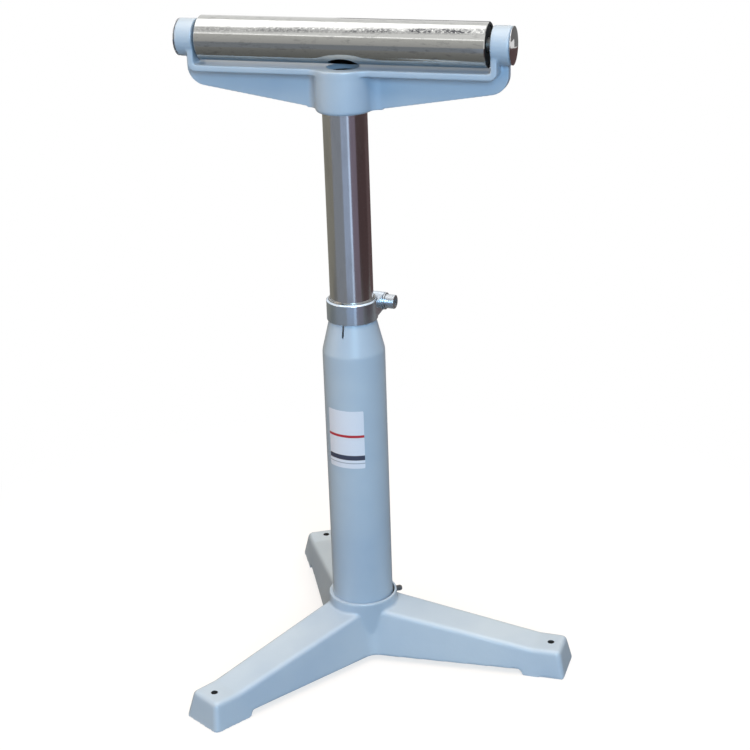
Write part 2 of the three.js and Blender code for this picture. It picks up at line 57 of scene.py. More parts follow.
class Wire:
    """An output socket of a node tree. Arithmetic on wires adds Math nodes, and add() any other node."""

    def __init__(self, tree, socket=None):
        self.tree, self.socket = tree, socket

    def add(self, kind, settings=None, inputs=None, output=0):
        """A new node: its settings are set first, then the values or links of its sockets."""
        node = self.tree.nodes.new(kind)
        for name, value in (settings or {}).items():
            if name == "stops":
                while len(node.color_ramp.elements) < len(value):
                    node.color_ramp.elements.new(1.0)
                for stop, (position, grey) in zip(node.color_ramp.elements, value):
                    stop.position, stop.color = position, (grey, grey, grey, 1)
            else:
                setattr(node, name, value)
        for key, value in (inputs or {}).items():
            self.feed(node.inputs[key], value)
        return Wire(self.tree, node.outputs[output])

    def feed(self, socket, value):
        """Links a wire to an input socket, or sets the socket to a plain value."""
        if isinstance(value, Wire):
            self.tree.links.new(value.socket, socket)
        else:
            socket.default_value = value

    def math(self, operation, first, second):
        """A Math node on two wires or numbers."""
        return self.add("ShaderNodeMath", {"operation": operation}, {0: first, 1: second})

    def __add__(self, other):
        return self.math("ADD", self, other)

    def __radd__(self, other):
        return self.math("ADD", other, self)

    def __sub__(self, other):
        return self.math("SUBTRACT", self, other)

    def __rsub__(self, other):
        return self.math("SUBTRACT", other, self)

    def __mul__(self, other):
        return self.math("MULTIPLY", self, other)

    def __rmul__(self, other):
        return self.math("MULTIPLY", other, self)

    def __or__(self, other):
        return self.math("MAXIMUM", self, other)


def linear(red, green, blue):
    """A colour as it is seen on a screen, 0 to 255, as the linear values that a shader takes."""
    levels = [c / 255 for c in (red, green, blue)]
    return (*[v / 12.92 if v <= 0.04045 else ((v + 0.055) / 1.055) ** 2.4 for v in levels], 1)


def seen_directly(tree):
    """1 for rays that show the surround itself: to the camera, or to it by way of metal or glass."""
    kinds = ("Camera", "Glossy", "Transmission")
    camera, glossy, glass = [Wire(tree).add("ShaderNodeLightPath", output=f"Is {kind} Ray") for kind in kinds]
    return camera | glossy | glass


def mixed(factor, first, second):
    """A colour that runs from the first to the second as the factor goes from 0 to 1."""
    return factor.add("ShaderNodeMix", {"data_type": "RGBA"}, {0: factor, 6: first, 7: second}, output=2)


# The surround is white where it is seen, and lights the object more weakly and warmly than that.
WHITE = (1, 1, 1, 1)
SKY_LOW, SKY_HIGH, SKY_TINT = 0.24, 0.42, (1.0, 0.92, 0.82, 1)
world = bpy.data.worlds.new("surround")
world.use_nodes = True
scene.world = world
background = world.node_tree.nodes["Background"]
sky_seen = seen_directly(world.node_tree)
direction = sky_seen.add("ShaderNodeTexCoord", output="Generated")
sky_height = direction.add("ShaderNodeSeparateXYZ", inputs={0: direction}, output="Z")
sky = SKY_LOW + (SKY_HIGH - SKY_LOW) * sky_height
sky.feed(background.inputs["Color"], mixed(sky_seen, SKY_TINT, WHITE))
sky.feed(background.inputs["Strength"], sky + sky_seen * (1 - sky))

# The floor glows where it is seen, so that only soft shadows show near the object and it ends in white.
FLOOR_SIZE, FLOOR_DROP, FLOOR_GLOW, FLOOR_ROUGHNESS = 40.0, 0.4 * MM, 0.72, 0.9
FLOOR_BOUNCED, FLOOR_SHOWN = linear(115, 116, 118), linear(240, 242, 247)
FADE_START, FADE_END = 0.35, 0.8
bpy.ops.object.select_all(action="DESELECT")
bpy.ops.mesh.primitive_plane_add(size=FLOOR_SIZE, location=(0, 0, -FLOOR_DROP))
floor = bpy.context.object
floor.name = "floor"
floor_paint = bpy.data.materials.new("floor")
floor_paint.use_nodes = True
floor_tree = floor_paint.node_tree
floor_skin = floor_tree.nodes["Principled BSDF"]
floor_skin.inputs["Roughness"].default_value = FLOOR_ROUGHNESS
floor_seen = seen_directly(floor_tree)
floor_seen.feed(floor_skin.inputs["Base Color"], mixed(floor_seen, FLOOR_BOUNCED, FLOOR_SHOWN))
lit = Wire(floor_tree, floor_skin.outputs[0])
glow = lit.add("ShaderNodeEmission", inputs={"Color": WHITE, "Strength": 1.0})
floor_place = lit.add("ShaderNodeTexCoord", output="Object")
from_column = lit.add("ShaderNodeVectorMath", {"operation": "LENGTH"}, {0: floor_place}, output="Value")
fade = {0: from_column, 1: FADE_START, 2: FADE_END, 3: FLOOR_GLOW, 4: 1.0}
share = floor_seen * lit.add("ShaderNodeMapRange", inputs=fade)
floor_mix = lit.add("ShaderNodeMixShader", inputs={0: share, 1: lit, 2: glow})
lit.feed(floor_tree.nodes["Material Output"].inputs["Surface"], floor_mix)
floor.data.materials.append(floor_paint)


def softbox(name, place, target, size, watts, colour, mirrored=True):
    """A rectangular lamp that is aimed at a target. Bright metal shows it only if it is mirrored."""
    bpy.ops.object.light_add(type="AREA", location=place)
    lamp = bpy.context.object
    lamp.name = name
    lamp.data.shape = "RECTANGLE"
    lamp.data.size, lamp.data.size_y = size
    lamp.data.energy, lamp.data.color = watts, colour
    lamp.rotation_euler = (Vector(place) - Vector(target)).to_track_quat("Z", "Y").to_euler()
    lamp.visible_glossy = mirrored


OVERHEAD, FRONT, LEFT, BEHIND = (0.3, -0.9, 4.6), (1.6, -3.55, 2.0), (-2.6, -1.5, 1.1), (0.6, 3.2, 2.2)
softbox("lamp_overhead", OVERHEAD, (0.2, 0, 0.3), (5.0, 4.4), 245, (1.0, 0.77, 0.54), mirrored=False)
softbox("lamp_front", FRONT, (0, 0, 0.4), (1.4, 1.6), 120, (0.46, 0.76, 1.0))
softbox("lamp_left", LEFT, (0, 0, 0.2), (1.4, 1.4), 20, (1.0, 0.76, 0.54))
softbox("lamp_behind", BEHIND, (0, 0, 0.4), (1.8, 1.4), 55, (1.0, 0.9, 0.76), mirrored=False)


def reflection_card(name, place, turn, size, near, far=None):
    """A flat card that only reflections see. Its colour may run from `near`, at its lower edge, to `far`."""
    bpy.ops.object.select_all(action="DESELECT")
    bpy.ops.mesh.primitive_plane_add(size=1, location=place, rotation=turn)
    card = bpy.context.object
    card.name = name
    card.scale = (*size, 1)
    card.visible_camera = card.visible_diffuse = card.visible_shadow = card.visible_transmission = False
    felt = bpy.data.materials.new(name)
    felt.use_nodes = True
    tree = felt.node_tree
    up = Wire(tree).add("ShaderNodeTexCoord", output="Object")
    up = up.add("ShaderNodeSeparateXYZ", inputs={0: up}, output="Y") + 0.5
    shade = mixed(up, (*near, 1), (*(far or near), 1))
    ink = shade.add("ShaderNodeEmission", inputs={"Color": shade, "Strength": 1.0})
    ink.feed(tree.nodes["Material Output"].inputs["Surface"], ink)
    card.data.materials.append(felt)


def round_column(distance, angle, height=0.0):
    """A place at this distance from the column's axis."""
    return distance * math.cos(angle), distance * math.sin(angle), height


CARDS_AWAY, CARDS_HIGH = 1.3, 0.62
WINDOW_SILL, WINDOW_LINTEL, WINDOW_TOP = 0.56, 0.7, 1.2
CAMERA_ANGLE = math.atan2(CAMERA_PLACE[1], CAMERA_PLACE[0])


def standing_card(name, start, stop, colour, bottom=0.0, top=CARDS_HIGH):
    """An upright card that faces the column, between two headings in degrees to the right of the camera."""
    angle = CAMERA_ANGLE + math.radians((start + stop) / 2)
    width = 2 * CARDS_AWAY * math.tan(math.radians(stop - start) / 2)
    place = round_column(CARDS_AWAY, angle, (bottom + top) / 2)
    reflection_card(name, place, (QUARTER, 0, angle + QUARTER), (width, top - bottom), colour)


standing_card("card_left", -180, -80, (0.25, 0.24, 0.2), top=0.5)
standing_card("card_front_left", -80, -25, (0.25, 0.27, 0.3))
standing_card("card_front", -25, 8, (0.35, 0.42, 0.55))
standing_card("card_strip", 8, 17, (0.7, 0.85, 1.1))
standing_card("card_front_right", 17, 50, (0.2, 0.16, 0.2))
standing_card("card_right", 50, 112, (0.08, 0.05, 0.05))
standing_card("card_back_right", 112, 180, (0.12, 0.08, 0.08), top=WINDOW_SILL)
standing_card("card_window_side", 127, 180, (0.2, 0.2, 0.2), WINDOW_SILL, WINDOW_TOP)
standing_card("card_window_top", 112, 127, (0.2, 0.2, 0.2), WINDOW_LINTEL, WINDOW_TOP)

BRIGHT, OVER_FLOOR = (2.2, 2.2, 2.2), 3 * MM
reflection_card("card_ceiling", (0.1, 0.25, 4.5), (math.pi, 0, 0), (5.3, 3.5), BRIGHT)
reflection_card("card_tube", (-0.7, -2.4, 2.36), (1.0, 0, 0), (2.0, 0.14), BRIGHT)
reflection_card(
    "card_wall", (-1.6, -3.2, 1.4), (QUARTER, 0, -0.4), (7.0, 2.9), (0.42, 0.42, 0.42), (0.66, 0.66, 0.64),
)
reflection_card(
    "card_floor", (-0.4, -1.4, OVER_FLOOR), (0, 0, math.pi), (4.2, 2.8), (0.15, 0.155, 0.15), (0.4, 0.4, 0.4),
)
reflection_card(
    "card_floor_back", (0, 0.7, OVER_FLOOR), (0, 0, 0), (3.0, 1.4), (0.15, 0.15, 0.15), (0.3, 0.29, 0.27),
)


# Base: a grey-iron casting with a collar for the column and three sloping legs that end in foot pads. It is
# drafted for the mould, hollow below, blended between the legs, and painted in a light blue-grey enamel. The
# collar's bore, the hole for its screw and the three floor-bolt holes are machined afterwards.
HAIR = MM / 1000  # places closer than this count as the same


def begin(add, name, **how):
    """Adds one primitive at its size and place, alone in the selection, and opens it for editing."""
    bpy.ops.object.select_all(action="DESELECT")
    add(**how)
    piece = bpy.context.object
    piece.name = piece.data.name = name
    bpy.ops.object.transform_apply(location=True, rotation=True, scale=True)
    bpy.ops.object.mode_set(mode="EDIT")
    return piece


def end():
    """Closes the piece that is open for editing."""
    bpy.ops.object.mode_set(mode="OBJECT")
    return bpy.context.object


def pick(kind, test):
    """In edit mode, selects exactly the vertices, edges or faces whose middle passes the test."""
    bpy.ops.mesh.select_mode(type=kind)
    bpy.ops.mesh.select_all(action="DESELECT")
    mesh = bmesh.from_edit_mesh(bpy.context.object.data)
    for part in {"VERT": mesh.verts, "EDGE": mesh.edges, "FACE": mesh.faces}[kind]:
        corners = [part] if kind == "VERT" else part.verts
        middle = sum((corner.co for corner in corners), Vector()) / len(corners)
        part.select_set(bool(test(middle)))
    mesh.select_flush_mode()
    bmesh.update_edit_mesh(bpy.context.object.data)


def choose(piece):
    """Makes a piece the only one selected, and the active one."""
    bpy.ops.object.select_all(action="DESELECT")
    piece.select_set(True)
    bpy.context.view_layer.objects.active = piece


def modify(piece, kind, **settings):
    """Adds a modifier with these settings and applies it."""
    choose(piece)
    modifier = piece.modifiers.new(kind.lower(), kind)
    for name, value in settings.items():
        setattr(modifier, name, value)
    bpy.ops.object.modifier_apply(modifier=modifier.name)


def carve(piece, tool, operation):
    """Joins a tool's shape to a piece or cuts it out of it, and throws the tool away."""
    modify(piece, "BOOLEAN", object=tool, operation=operation, solver="EXACT")
    bpy.data.objects.remove(tool)


def settle(piece, turn=0.0, place=(0, 0, 0), tilt=(0, 0)):
    """Turns and moves a finished shape, then puts its place into its mesh."""
    choose(piece)
    piece.rotation_euler = (tilt[0], tilt[1], turn)
    piece.location = place
    bpy.ops.object.transform_apply(location=True, rotation=True, scale=True)
    return piece


def block(name, near, far):
    """A cube drawn out to a wedge along +X. Each end is a pair of (x, half width, z), below and above."""
    piece = begin(bpy.ops.mesh.primitive_cube_add, name, size=2)
    for side, ends in ((-1, near), (1, far)):
        for level, (x, half, z) in zip((-1, 1), ends):
            pick("VERT", lambda c: abs(c.x - side) < HAIR and abs(c.z - level) < HAIR)
            bpy.ops.transform.translate(value=(x - side, 0, z - level))
            bpy.ops.transform.resize(value=(1, half, 1), center_override=(0, 0, 0))
    end()
    return piece


def drum(name, radius, bottom, top, facets=96, place=(0, 0), top_radius=None):
    """An upright cylinder or cone between two heights."""
    piece = begin(
        bpy.ops.mesh.primitive_cone_add, name, vertices=facets, radius1=radius,
        radius2=radius if top_radius is None else top_radius, depth=top - bottom,
        location=(*place, (bottom + top) / 2), end_fill_type="NGON",
    )
    end()
    return piece


LEG_ANGLES = [math.radians(degrees) for degrees in (0, 120, 240)]
DRAFT = math.tan(math.radians(12))
HUB_TOP, FOOT_TOP, FLAT_START, LEG_TIP = 74 * MM, 36.3 * MM, 238 * MM, 274.4 * MM
HUB_HALF, FOOT_HALF, LEG_EDGE, FOOT_CORNER = 30.5 * MM, 24 * MM, 5 * MM, 6 * MM
LEG_WALL, POCKET_START, POCKET_END = 8 * MM, 58 * MM, 214 * MM
CLEARANCE, RELIEF_START, PAD_START, PAD_SLOPE = 7 * MM, -60 * MM, 228 * MM, 6 * MM
BOLT_HOLE, BOLT_AT = 4.5 * MM, 257.9 * MM
COLLAR, COLLAR_TOP = 45.7 * MM, 82 * MM
COLLAR_BORE, BORE_SHIFT, SEAT, SEAT_HOLE = 41.6 * MM, 1.3 * MM, 16 * MM, 36 * MM
SCREW_ANGLE, SCREW_HEIGHT, SCREW_HOLE = math.radians(30), 75.5 * MM, 4.3 * MM
DRILL_START, DRILL_END = 20 * MM, 60 * MM
BLEND_AT, BLEND_TOP, BLEND_RADIUS = 70.45 * MM, 62 * MM, 30 * MM
CORNER_HALF, CORNER_FOOT, CORNER_HEAD = 13.5 * MM, 55.4 * MM, 43.7 * MM
BASE_GRAIN = 1.7 * MM


def leg_top(r):
    """The height of a leg's top at this distance from the column's axis."""
    return max(HUB_TOP - (HUB_TOP - FOOT_TOP) / FLAT_START * r, FOOT_TOP)


def leg_half(r):
    """Half the width of a leg's top at this distance from the column's axis."""
    return HUB_HALF + (FOOT_HALF - HUB_HALF) * r / LEG_TIP


def leg(name):
    """One leg along +X: sloping top, drafted sides, rounded foot corners and a rounded top edge."""
    hub_spread, flat_spread = [leg_half(r) + leg_top(r) * DRAFT for r in (0, FLAT_START)]
    piece = block(
        name, ((0, hub_spread, 0), (0, HUB_HALF, HUB_TOP)),
        ((FLAT_START, flat_spread, 0), (FLAT_START, leg_half(FLAT_START), FOOT_TOP)),
    )

    def at_tip(c):
        return c.x > LEG_TIP - HAIR

    def on_rim(c):
        at_side = c.x > HAIR and abs(c.y) > leg_half(c.x) - FOOT_CORNER
        return c.z > leg_top(c.x) - HAIR and (at_side or at_tip(c))

    bpy.ops.object.mode_set(mode="EDIT")
    pick("FACE", lambda c: c.x > FLAT_START - HAIR)
    bpy.ops.mesh.extrude_region_move(TRANSFORM_OT_translate={"value": (LEG_TIP - FLAT_START, 0, 0)})
    narrow = FOOT_HALF / leg_half(FLAT_START)
    bpy.ops.transform.resize(value=(1, narrow, 1), center_override=(LEG_TIP, 0, 0))
    pick("VERT", lambda c: at_tip(c) and c.z < HAIR)
    bpy.ops.transform.translate(value=(FOOT_TOP * DRAFT, 0, 0))
    pick("EDGE", lambda c: at_tip(c) and HAIR < c.z < FOOT_TOP - HAIR and abs(c.y) > HAIR)
    bpy.ops.mesh.bevel(offset=FOOT_CORNER, segments=5, affect="EDGES")
    pick("EDGE", on_rim)
    bpy.ops.mesh.bevel(offset=LEG_EDGE, segments=4, affect="EDGES")
    return end()


def leg_hollow(name):
    """The hollow below a leg along +X, which leaves an even wall."""
    ends = []
    for r in (POCKET_START, POCKET_END):
        levels = (-MM, leg_top(r) - LEG_WALL)
        ends.append([(r, leg_half(r) + (leg_top(r) - z) * DRAFT - LEG_WALL, z) for z in levels])
    return block(name, *ends)


base = drum("base", COLLAR, 0, COLLAR_TOP)
for angle in LEG_ANGLES:
    carve(base, settle(leg("leg"), angle), "UNION")
scoop_foot, scoop_head = BLEND_RADIUS - (BLEND_TOP + MM) * DRAFT, BLEND_RADIUS + MM * DRAFT
for angle in LEG_ANGLES:
    corner = block(
        "corner", ((0, CORNER_HALF, 0), (0, CORNER_HALF, BLEND_TOP)),
        ((CORNER_FOOT, CORNER_HALF, 0), (CORNER_HEAD, CORNER_HALF, BLEND_TOP)),
    )
    scoop = drum("scoop", scoop_foot, -MM, BLEND_TOP + MM, 96, (BLEND_AT, 0), scoop_head)
    carve(corner, scoop, "DIFFERENCE")
    carve(base, settle(corner, angle + math.pi / 3), "UNION")
wide = 2 * COLLAR
for angle in LEG_ANGLES:
    carve(base, settle(leg_hollow("hollow"), angle), "DIFFERENCE")
    relief = block(
        "relief", ((RELIEF_START, wide, -MM), (RELIEF_START, wide, CLEARANCE)),
        ((PAD_START, wide, -MM), (PAD_START - PAD_SLOPE, wide, CLEARANCE)),
    )
    carve(base, settle(relief, angle), "DIFFERENCE")


def cast(piece, grain, passes):
    """One soft skin over a joined shape, as a mould gives: corners and joints come out rounded."""
    modify(piece, "REMESH", mode="VOXEL", voxel_size=grain)
    modify(piece, "SMOOTH", factor=0.5, iterations=passes)


cast(base, BASE_GRAIN, 5)
bore_place = round_column(BORE_SHIFT, SCREW_ANGLE)[:2]
carve(base, drum("bore", COLLAR_BORE, SEAT, COLLAR_TOP + 5 * MM, 128, bore_place), "DIFFERENCE")
carve(base, drum("seat_hole", SEAT_HOLE, -MM, SEAT + MM, 96), "DIFFERENCE")
for angle in LEG_ANGLES:
    bolt_hole = drum("bolt_hole", BOLT_HOLE, -MM, FOOT_TOP + MM, 32, (BOLT_AT, 0))
    carve(base, settle(bolt_hole, angle), "DIFFERENCE")
screw_hole = drum("screw_hole", SCREW_HOLE, DRILL_START, DRILL_END, 32)
carve(base, settle(screw_hole, SCREW_ANGLE, (0, 0, SCREW_HEIGHT), (0, QUARTER)), "DIFFERENCE")


def smooth(piece, angle=35):
    """Smooth shading that breaks at edges sharper than this, and that leaves broad faces true."""
    choose(piece)
    bpy.ops.object.shade_smooth_by_angle(angle=math.radians(angle))
    modify(piece, "WEIGHTED_NORMAL", keep_sharp=True, weight=100)


smooth(base)


def new_finish(name):
    """A node material, with its Principled shader and a wire that carries Object coordinates."""
    material = bpy.data.materials.new(name)
    material.use_nodes = True
    place = Wire(material.node_tree).add("ShaderNodeTexCoord", output="Object")
    return material, material.node_tree.nodes["Principled BSDF"], place


def noise(place, scale, detail=2.0, roughness=0.5, stretch=None):
    """Noise from 0 to 1. A stretch squeezes it by these numbers along X, Y and Z."""
    if stretch:
        place = place.add("ShaderNodeMapping", inputs={"Vector": place, "Scale": stretch})
    inputs = {"Vector": place, "Scale": scale, "Detail": detail, "Roughness": roughness}
    return place.add("ShaderNodeTexNoise", inputs=inputs)


def ramp(wire, *stops):
    """Spreads a wire's values over these stops, each (position, grey)."""
    return wire.add("ShaderNodeValToRGB", {"stops": stops}, {0: wire})


def bumpy(height, strength, distance, under=None):
    """A bumped normal, over another one if it is given."""
    inputs = {"Height": height, "Strength": strength, "Distance": distance}
    if under is not None:
        inputs["Normal"] = under
    return height.add("ShaderNodeBump", inputs=inputs)


ENAMEL, ENAMEL_PALE, ENAMEL_DEEP = linear(163, 182, 203), linear(169, 187, 206), linear(157, 177, 200)


def enamel(name, lumps):
    """Semi-gloss enamel. `lumps` is how much of the rough casting shows through it, in metres."""
    material, skin, place = new_finish(name)
    cloud = ramp(noise(place, 9.0, 3.0), (0.35, 0.0), (0.65, 1.0))
    colour = mixed(cloud, ENAMEL_DEEP, ENAMEL_PALE)
    settled = ramp(noise(place, 38.0, 4.0), (0.45, 0.0), (0.75, 1.0))
    colour = mixed(settled * 0.35, colour, ENAMEL)
    place.feed(skin.inputs["Base Color"], colour)
    place.feed(skin.inputs["Roughness"], 0.34 + 0.1 * noise(place, 60.0, 3.0))
    peel = bumpy(noise(place, 900.0, 1.0), 0.5, 0.00003)
    place.feed(skin.inputs["Normal"], bumpy(noise(place, 170.0, 3.0), 0.6, lumps, peel))
    skin.inputs["Coat Weight"].default_value = 0.4
    skin.inputs["Coat Roughness"].default_value = 0.22
    return material


def shaded_drilled_iron():
    """Bare oily iron in a drilled hole, with the drill's fine rings; its near-black colour is partly painted
    shade inside the hole.
    """
    material, skin, place = new_finish("shaded_drilled_iron")
    rings = noise(place, 1.0, 2.0, 0.5, (60, 60, 1500))
    place.feed(skin.inputs["Base Color"], mixed(rings, linear(38, 37, 38), linear(62, 60, 58)))
    place.feed(skin.inputs["Roughness"], 0.45 + 0.2 * rings)
    place.feed(skin.inputs["Normal"], bumpy(rings, 0.5, 0.00004))
    return material


def dressed(piece, material, body, slot, *nodes):
    """Gives a finished piece its material, hangs it on its body's empty, and hides the CAD nodes that it
    stands for.
    """
    piece.data.materials.clear()
    piece.data.materials.append(material)
    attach(piece, body)
    if nodes:
        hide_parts(*nodes)


def patched(piece, material, test):
    """Gives a second material to the faces that pass the test."""
    piece.data.materials.append(material)
    for face in piece.data.polygons:
        if test(face):
            face.material_index = 1


def in_bolt_hole(face):
    """Whether a face is on the wall of one of the three floor-bolt holes."""
    away = min((face.center.xy - Vector(round_column(BOLT_AT, angle)).xy).length for angle in LEG_ANGLES)
    return away < BOLT_HOLE and abs(face.normal.z) < 0.5


cast_enamel = enamel("enamel_on_casting", 0.3 * MM)
dressed(base, cast_enamel, "stand", "paint", "base_casting")
# The walls of the floor-bolt holes are painted dark: bare iron, and painted shade inside the holes.
patched(base, shaded_drilled_iron(), in_bolt_hole)


# Column screw: a dark headless screw that is driven through the collar and grips the column. Its thread shows
# on the stub that stands out of the collar, and its outer end has a hexagon socket.
def turned(name, rings, facets=96, hollow=False):
    """A circle extruded about Z from ring to ring, each (radius, height), and back to its first if hollow."""
    (radius, height), *rest = rings
    piece = begin(
        bpy.ops.mesh.primitive_circle_add, name, vertices=facets, radius=radius, location=(0, 0, height),
        fill_type="NOTHING" if hollow else "NGON",
    )
    pick("EDGE", lambda c: True)
    for next_radius, next_height in rest + rings[:1] if hollow else rest:
        grow = next_radius / radius
        bpy.ops.mesh.extrude_edges_move(TRANSFORM_OT_translate={"value": (0, 0, next_height - height)})
        bpy.ops.transform.resize(value=(grow, grow, 1), center_override=(0, 0, next_height))
        radius, height = next_radius, next_height
    if not hollow:
        bpy.ops.mesh.edge_face_add()
    bpy.ops.mesh.select_all(action="SELECT")
    bpy.ops.mesh.remove_doubles(threshold=HAIR)
    bpy.ops.mesh.normals_make_consistent(inside=False)
    end()
    return piece


def threaded(radius, start, stop, pitch, depth):
    """Rings of a screw thread between two heights, with a narrow flat on each crest."""
    turns = int((stop - start) / pitch)
    rings = []
    for i in range(turns):
        root = start + i * pitch
        rings += [(radius - depth, root), (radius, root + 0.4 * pitch), (radius, root + 0.55 * pitch)]
    return rings + [(radius - depth, start + turns * pitch)]


def hex_socket(piece, across, bottom, top):
    """Cuts a hexagon socket into the top end of an upright screw."""
    carve(piece, drum("socket", across / math.sqrt(3), bottom, top + MM, 6), "DIFFERENCE")


def break_edges(piece, width, sharper=30):
    """Takes the sharpness off every edge that is sharper than this angle."""
    choose(piece)
    bpy.ops.object.mode_set(mode="EDIT")
    bpy.ops.mesh.select_mode(type="EDGE")
    bpy.ops.mesh.select_all(action="DESELECT")
    bpy.ops.mesh.edges_select_sharp(sharpness=math.radians(sharper))
    bpy.ops.mesh.bevel(offset=width, segments=2, affect="EDGES")
    return end()


GRUB, GRUB_SOCKET, GRUB_SOCKET_DEPTH, GRUB_EDGE = 4 * MM, 4 * MM, 4 * MM, 0.7 * MM
GRUB_PITCH, GRUB_THREAD, GRUB_RUN_IN = 1.25 * MM, 0.6 * MM, 0.1 * MM
COLUMN_GRUB, COLUMN_GRUB_START = 13.5 * MM, 40.3 * MM


def grub_screw(name, length):
    """An upright headless screw with a blunt point below and a socket in its top."""
    point = [(GRUB - GRUB_EDGE, 0), (GRUB - GRUB_THREAD, GRUB_EDGE)]
    thread = threaded(GRUB, GRUB_EDGE + GRUB_RUN_IN, length - GRUB_EDGE, GRUB_PITCH, GRUB_THREAD)
    piece = turned(name, point + thread + [(GRUB - 2 * GRUB_EDGE, length)], 48)
    hex_socket(piece, GRUB_SOCKET, length - GRUB_SOCKET_DEPTH, length)
    smooth(piece)
    return piece


def black_oxide():
    """Blackened steel: dark grey, a little brown where the film is thin, with an oily half-gloss."""
    material, skin, place = new_finish("black_oxide")
    thin = ramp(noise(place, 240.0, 4.0), (0.5, 0.0), (0.75, 1.0))
    place.feed(skin.inputs["Base Color"], mixed(thin, linear(112, 112, 114), linear(140, 136, 131)))
    place.feed(skin.inputs["Roughness"], 0.32 + 0.2 * noise(place, 500.0, 3.0))
    place.feed(skin.inputs["Normal"], bumpy(noise(place, 1800.0, 2.0), 0.4, 0.00002))
    skin.inputs["Metallic"].default_value = 0.7
    return material


blackened = black_oxide()
column_screw = grub_screw("column_screw", COLUMN_GRUB)
screw_start = round_column(COLUMN_GRUB_START, SCREW_ANGLE, SCREW_HEIGHT)
settle(column_screw, SCREW_ANGLE, screw_start, (0, QUARTER))
dressed(column_screw, blackened, "stand", "black_oxide", "column_set_screw")


# Column: a drawn steel tube, swaged to a cone at the top and turned down to a thin slotted neck that the
# clamp squeezes on to the mast. The tube and cone are enamelled like the base, and the neck is left bare.
COLUMN, COLUMN_WALL, COLUMN_BOTTOM = 40 * MM, 4.5 * MM, 16.3 * MM
CONE_BOTTOM, CONE_TOP, CONE_SMALL, CONE_SOFT = 429.5 * MM, 470.6 * MM, 30 * MM, 2.5 * MM
NECK, NECK_BORE, NECK_TOP, NECK_EDGE = 29.6 * MM, 27.8 * MM, 499.5 * MM, 0.35 * MM
SLOT, SLOT_BOTTOM, SLOT_ROUND, CLAMP_ANGLE = 2.4 * MM, 454 * MM, 1.152 * MM, math.radians(85)
BARE_FROM = CONE_TOP + 0.2 * MM


def bevelled(piece, test, width, segments):
    """Rounds the edges of a piece whose middle passes the test."""
    choose(piece)
    bpy.ops.object.mode_set(mode="EDIT")
    pick("EDGE", test)
    bpy.ops.mesh.bevel(offset=width, segments=segments, affect="EDGES")
    return end()


def bar(name, reach, half, bottom, top):
    """A plain box across the middle, from -reach to +reach along X."""
    left, right = [((x, half, bottom), (x, half, top)) for x in (-reach, reach)]
    return block(name, left, right)


column = turned("column", [
    (COLUMN, COLUMN_BOTTOM), (COLUMN, CONE_BOTTOM), (CONE_SMALL, CONE_TOP), (NECK, CONE_TOP),
    (NECK, NECK_TOP), (NECK_BORE, NECK_TOP), (NECK_BORE, CONE_TOP - COLUMN_WALL),
    (COLUMN - COLUMN_WALL, CONE_BOTTOM), (COLUMN - COLUMN_WALL, COLUMN_BOTTOM),
], 128, hollow=True)
bevelled(column, lambda c: abs(c.z - CONE_BOTTOM) < HAIR and math.hypot(c.x, c.y) > COLUMN - MM, CONE_SOFT, 3)
bevelled(column, lambda c: abs(c.z - NECK_TOP) < HAIR, NECK_EDGE, 2)
neck_slot = bar("slot", 2 * COLUMN, SLOT / 2, SLOT_BOTTOM, NECK_TOP + MM)
bevelled(neck_slot, lambda c: c.z < SLOT_BOTTOM + HAIR and abs(c.y) > HAIR, SLOT_ROUND, 5)
carve(column, settle(neck_slot, CLAMP_ANGLE), "DIFFERENCE")
smooth(column, 25)


def bare_steel(name, lines, roughness=0.3):
    """Turned steel. `lines` stretches the tool marks: large numbers across them, small ones along them."""
    material, skin, place = new_finish(name)
    marks = noise(place, 1.0, 3.0, 0.6, lines)
    stain = ramp(noise(place, 45.0, 4.0), (0.4, 0.0), (0.7, 1.0))
    place.feed(skin.inputs["Base Color"], mixed(stain, linear(186, 186, 184), linear(164, 162, 158)))
    place.feed(skin.inputs["Roughness"], roughness + 0.12 * marks + 0.1 * stain)
    place.feed(skin.inputs["Normal"], bumpy(marks, 0.3, 0.00003))
    skin.inputs["Metallic"].default_value = 1.0
    return material


tube_enamel = enamel("enamel_on_tube", 0.06 * MM)
dressed(column, tube_enamel, "stand", "paint", "column_tube")
turned_steel = bare_steel("turned_steel", (20, 20, 2500))
patched(column, turned_steel, lambda face: face.center.z > BARE_FROM)


# Sticker: a plain white paper label on the front of the column, with a red rule, a dark bar and a thin grey
# line across it. It is cut with rounded corners and rolled on to the paint.
STICKER_ANGLE, STICKER_WIDE, STICKER_BOTTOM, STICKER_TOP = math.radians(-95), 47.7 * MM, 279 * MM, 358.5 * MM
STICKER_CORNER, STICKER_THICK, STICKER_AWAY = 1.5 * MM, 0.12 * MM, 80 * MM
STICKER_COLUMNS, STICKER_ROWS = 32, 24
RED_RULE, DARK_BAR, GREY_LINE = (322 * MM, 325.5 * MM), (290.5 * MM, 297 * MM), (285.5 * MM, 286.7 * MM)

sticker_high = STICKER_TOP - STICKER_BOTTOM
sticker = begin(
    bpy.ops.mesh.primitive_grid_add, "sticker", size=1,
    x_subdivisions=STICKER_COLUMNS, y_subdivisions=STICKER_ROWS,
)
bpy.ops.transform.resize(value=(STICKER_WIDE, sticker_high, 1), center_override=(0, 0, 0))
pick("VERT", lambda c: abs(c.x) > STICKER_WIDE / 2 - HAIR and abs(c.y) > sticker_high / 2 - HAIR)
bpy.ops.mesh.bevel(offset=STICKER_CORNER, segments=3, affect="VERTICES")
end()
sticker_middle = round_column(STICKER_AWAY, STICKER_ANGLE, (STICKER_TOP + STICKER_BOTTOM) / 2)
settle(sticker, STICKER_ANGLE + QUARTER, sticker_middle, (QUARTER, 0))
modify(
    sticker, "SHRINKWRAP", target=column, wrap_method="PROJECT", use_negative_direction=True,
    use_positive_direction=False, offset=STICKER_THICK / 4,
)
modify(sticker, "SOLIDIFY", thickness=STICKER_THICK, offset=1.0)
smooth(sticker, 40)


